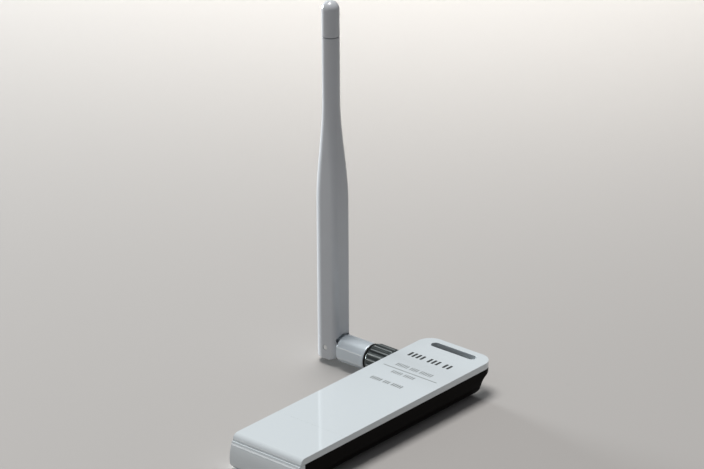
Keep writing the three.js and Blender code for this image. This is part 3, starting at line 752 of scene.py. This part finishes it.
EAR_DROP = PIN.z - SLEEVE_LOW.z
HALF_X = (SLEEVE_HIGH.x - SLEEVE_LOW.x) / 2
FRONT, BACK = PIN.y - SLEEVE_LOW.y, SLEEVE_HIGH.y - PIN.y
TIP_RADIUS = (TIP_HIGH.x - TIP_LOW.x) / 2


def ellipse_corner(side_x, side_y, half, depth, radii, turn):
    """A quarter ellipse in one corner of a section, in the turn-th quadrant."""
    rx, ry = radii
    return [(side_x * (half - rx) + rx * x, side_y * (depth - ry) + ry * y)
            for x, y in arc(0, 0, 1, 90 * turn, 90 * turn + 90, 14)]


def sleeve_ring(z):
    """Ring of the whip at a height above the pin, in millimetres."""
    t = min(max((z - TAPER[0]) / (TAPER[1] - TAPER[0]), 0.0), 1.0)
    t = 1 - t * t * (3 - 2 * t)

    def blend(*sizes):
        return [TIP_RADIUS + (low - TIP_RADIUS) * t for low in sizes]

    half, front, back = blend(HALF_X, FRONT, BACK)
    front_radii, back_radii = (blend(*SLEEVE_CORNERS[side]) for side in ("front", "back"))
    outline = [*ellipse_corner(1, 1, half, back, back_radii, 0),
               *ellipse_corner(-1, 1, half, back, back_radii, 1),
               *ellipse_corner(-1, -1, half, front, front_radii, 2),
               *ellipse_corner(1, -1, half, front, front_radii, 3)]
    return [(PIN.x + x, PIN.y + y, PIN.z + z) for x, y in outline]


def foot_rings():
    """Rings of the whip below the pin, drawn in to its rounded lower corners and edges."""
    rings = []
    steps, edge = 22, FOOT_EDGE
    full = sleeve_ring(0)
    for i in range(steps + 1):
        drop = EAR_DROP * math.sin(math.radians(90 * (1 - i / steps)))
        draw = {}
        for side, reach in (("front", FRONT), ("back", BACK)):
            radius = FOOT_CORNERS[side]
            over = max(0.0, drop - (EAR_DROP - radius))
            draw[side] = reach - radius + math.sqrt(max(radius ** 2 - over ** 2, 0.0))
        over = max(0.0, drop - (EAR_DROP - edge))
        narrow = 1 - (edge - math.sqrt(max(edge ** 2 - over ** 2, 0))) / HALF_X
        ring = []
        for x, y, _ in full:
            side, reach = ("front", FRONT) if y < PIN.y else ("back", BACK)
            ring.append((PIN.x + (x - PIN.x) * narrow, PIN.y + (y - PIN.y) * draw[side] / reach,
                         PIN.z - drop))
        rings.append(ring)
    return rings


def whip_piece():
    """Whip sleeve, lofted from the forked foot to the round top, hollow inside."""
    steps = 30
    taper = [TAPER[0] + (TAPER[1] - TAPER[0]) * i / steps for i in range(steps + 1)]
    top = SLEEVE_HIGH.z - PIN.z
    rings = foot_rings() + [sleeve_ring(z) for z in (*BELOW_TAPER, *taper, ABOVE_TAPER)]
    for z, inset in ((top - TIP_JOINT["lip"], 0.0), (top, TIP_JOINT["inset"])):
        shrink = (TIP_RADIUS - inset) / TIP_RADIUS
        rings.append([(PIN.x + (x - PIN.x) * shrink, PIN.y + (y - PIN.y) * shrink, PIN.z + z)
                      for x, y, _ in sleeve_ring(z)])
    whip = loft("whip_body", rings)
    half, before = FORK["half"], PIN.y - 8
    slot = block("cutter", (PIN.x - half, before, PIN.z - EAR_DROP - 2),
                 (PIN.x + half, PIN.y + FORK["back"], PIN.z + FORK["top"]))
    recess = round_cutter(RECESS["radius"], before, PIN.y - FRONT + RECESS["depth"], 96)
    half, (low, high) = RECESS["half"], RECESS["z"]
    boolean(recess, block("keep", (PIN.x - half, before - OVER, PIN.z + low),
                          (PIN.x + half, PIN.y, PIN.z + high)), "INTERSECT")
    pin_hole = pin_cutter(SLEEVE_PIN_HOLE["radius"], SLEEVE_PIN_HOLE["reach"])
    bottom, cable, narrow = FORK["top"] - OVER, SLEEVE_BORE["cable"], SLEEVE_BORE["narrow"]
    wide, start, end = SLEEVE_BORE["wide"], SLEEVE_BORE["start"], SLEEVE_BORE["wide_end"]
    bore = lathe("cutter", [(0, bottom), (cable, bottom), (cable, start), (wide, start),
                            (wide, end), (narrow, end), (narrow, top + OVER), (0, top + OVER)],
                 PIN, "Z", 48)
    cut(whip, slot, recess, pin_hole, bore)
    bevel(whip, 0.08, angle=50, segments=2)
    finish(soften(whip), "grey", "whip", "whip_sleeve")


def tip_piece():
    """Domed tip with a spigot that plugs into the sleeve."""
    base, top = SLEEVE_HIGH.z + TIP_JOINT["gap"], TIP_HIGH.z
    spigot, edge = TIP_JOINT["spigot"], TIP_JOINT["edge"]
    dome = arc(0, top - TIP_RADIUS, TIP_RADIUS, 0, 90, 20)
    profile = [(0, TIP_LOW.z), (spigot - edge, TIP_LOW.z), (spigot, TIP_LOW.z + edge),
               (spigot, base), (TIP_RADIUS - TIP_JOINT["inset"], base),
               (TIP_RADIUS, base + TIP_JOINT["shoulder"]), *dome[:-1], (0, top)]
    tip = lathe("whip_tip_cap", profile, (PIN.x, PIN.y, 0), "Z", 96)
    finish(soften(tip), "grey", "whip", "whip_tip")


def pin_piece():
    """Hinge pin with a low domed head in each ear."""
    reach, radius, head = PIN_HIGH.x - PIN.x, HINGE_PIN["radius"], HINGE_PIN["head"]
    side = [(0, reach), (head * 0.6, reach - 0.02), (head * 0.9, reach - 0.1), (head, reach - 0.3),
            (head, reach - 0.7), (radius, reach - 0.75)]
    profile = [(r, -s) for r, s in side] + list(reversed(side))
    pin = lathe("hinge_pin_rod", profile, PIN, "X", 48)
    finish(soften(pin), "steel", "whip", "hinge_pin")


# ---- printing ----

def bar_mark(x, y, half_x, half_y):
    """Thin printed bar with slightly rounded corners on the cover."""
    radius = min(half_x, half_y) * INK["corner"]
    outline = [(x + u, y + v) for u, v in rounded_rectangle(half_x, half_y, radius, 3)]
    return extruded("bar", outline, "Z", TOP - INK["sunk"], TOP + INK["height"])


def joined(name, pieces):
    """Joins printed bars into one piece. The bars are used up."""
    work = bmesh.new()
    for piece in pieces:
        work.from_mesh(piece.data)
        bpy.data.objects.remove(piece)
    mesh = bpy.data.meshes.new(name)
    work.to_mesh(mesh)
    work.free()
    made = bpy.data.objects.new(name, mesh)
    bpy.context.scene.collection.objects.link(made)
    return made


def mark_row(name, x, start, groups, pitch, stroke, half, material):
    """A row of plain printed strokes across the case, in groups, from start towards -Y."""
    bars, y = [], start
    for count in groups:
        for _ in range(count):
            bars.append(bar_mark(x, y - stroke / 2, half, stroke / 2))
            y -= pitch
        y -= pitch * GROUP_GAP
    finish(joined(name, bars), material, "root")


def printing():
    """Plain strokes that stand for the print: they spell nothing."""
    mark_row("bold_strokes", TAIL_X - 14.2, 9.3, (4, 3, 2), 1.62, 0.86, 1.4, "ink")
    mark_row("thin_rule", TAIL_X - 25.25, 10.6, (1,), 1, 21.2, 0.16, "pale_ink")
    mark_row("upper_strokes", TAIL_X - 22.5, 7.5, (6, 4, 6), 0.82, 0.36, 0.95, "pale_ink")
    mark_row("middle_strokes", TAIL_X - 27.5, 5.2, (5, 5), 0.84, 0.38, 0.85, "pale_ink")
    mark_row("lower_strokes", TAIL_X - 34.6, 7.6, (5, 3, 5), 0.86, 0.46, 0.9, "pale_ink")


# ---- CAD nodes that stay ----

def keep_cad_nodes():
    """Gives the parts that stay as CAD solids their materials."""
    kept = {"board": ["main_board"],
            "steel": ["rf_shield_can", "crystal", "retaining_ring"],
            "chip": ["wifi_chip", "power_amplifier", "eeprom", "voltage_regulator",
                     "inductor_1", "inductor_2"],
            "ceramic": ["rf_filter", *[f"capacitor_{i}" for i in range(1, 7)]],
            "ivory": ["usb_plug_tongue", "jack_insulator", "plug_insulator", "barrel_coax",
                      "whip_coax"],
            "gold": ["jack_pin", "plug_socket", *[f"usb_contact_{i}" for i in range(1, 5)]],
            "copper": ["choke_tube", "lower_radiator", "phasing_coil", "upper_radiator"],
            "lens": ["status_led"]}
    for material, nodes in kept.items():
        for name in nodes:
            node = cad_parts[name]
            node.data.materials.clear()
            node.data.materials.append(MATERIALS[material])


# ---- stage ----

FLOOR_HALF = 3000  # millimetres
FLOOR_DROP = 0.00005  # metres
CAMERA_LENS = 166.23
CAMERA_PLACE = Vector((-0.67378, -0.57956, 0.44371))
CAMERA_RIGHT = Vector((0.65380, -0.75665, -0.00478))
CAMERA_UP = Vector((0.29987, 0.25329, 0.91974))


def stage_floor():
    """Pale plain floor, a hair below the case."""
    corners = [(x * FLOOR_HALF, y * FLOOR_HALF, 0) for x, y in ((-1, -1), (1, -1), (1, 1), (-1, 1))]
    floor = mesh_piece("floor", corners, [(0, 1, 2, 3)])
    floor.location.z = -FLOOR_DROP
    shader = Shader("floor", (0.40, 0.383, 0.37), 0.9)
    floor.data.materials.append(shader.material)


def camera():
    """The photograph's viewpoint."""
    data = bpy.data.cameras.new("camera")
    data.lens = CAMERA_LENS
    data.sensor_width = 36
    data.clip_start, data.clip_end = 0.01, 100
    made = bpy.data.objects.new("camera", data)
    turn = Matrix((CAMERA_RIGHT, CAMERA_UP, CAMERA_RIGHT.cross(CAMERA_UP))).transposed()
    made.matrix_world = Matrix.Translation(CAMERA_PLACE) @ turn.to_4x4()
    bpy.context.scene.collection.objects.link(made)
    bpy.context.scene.camera = made


def area_light(name, place, target, size, power, color=(1, 1, 1), spread=math.pi):
    """Rectangular lamp at a place in metres, turned towards a target."""
    data = bpy.data.lights.new(name, "AREA")
    data.shape = "RECTANGLE"
    data.size, data.size_y = size
    data.energy = power
    data.color = color
    data.spread = spread
    light = bpy.data.objects.new(name, data)
    light.location = place
    light.visible_camera = False
    toward = Vector(target) - Vector(place)
    light.rotation_euler = toward.to_track_quat("-Z", "Y").to_euler()
    bpy.context.scene.collection.objects.link(light)


def lights():
    """Soft key above, a low rim and edge light behind, and a lamp over the far floor."""
    area_light("key", (0.05, 0.35, 1.6), (0.0, 0.01, 0.03), (0.8, 0.6), 25, (1.0, 0.995, 0.98))
    area_light("rim", (0.13, 1.1, 0.075), (0.03, 0.04, 0.07), (0.3, 0.11), 24, (0.92, 0.98, 1.0))
    area_light("edge", (-0.95, 0.78, 0.09), (0.03, 0.03, 0.01), (0.4, 0.08), 0.16)
    area_light("back", (0.5, 0.36, 0.7), (0.5, 0.36, 0), (0.5, 0.5), 1.5, (1.0, 0.985, 0.95),
               spread=0.9)
    world = bpy.data.worlds.new("world")
    world.use_nodes = True
    background = world.node_tree.nodes["Background"]
    background.inputs["Color"].default_value = (0.92, 0.95, 1.0, 1)
    background.inputs["Strength"].default_value = 0.18
    bpy.context.scene.world = world
    bpy.context.scene.view_settings.view_transform = "Standard"


camera()
case_hull()
plug_collar()
case_cover()
cap_cover()
cap_nose()
cap_hull()
usb_plug()
threaded_jack()
nut_piece()
washer_piece()
ferrule_piece()
barrel_piece()
whip_piece()
tip_piece()
pin_piece()
printing()
keep_cad_nodes()
stage_floor()
lights()
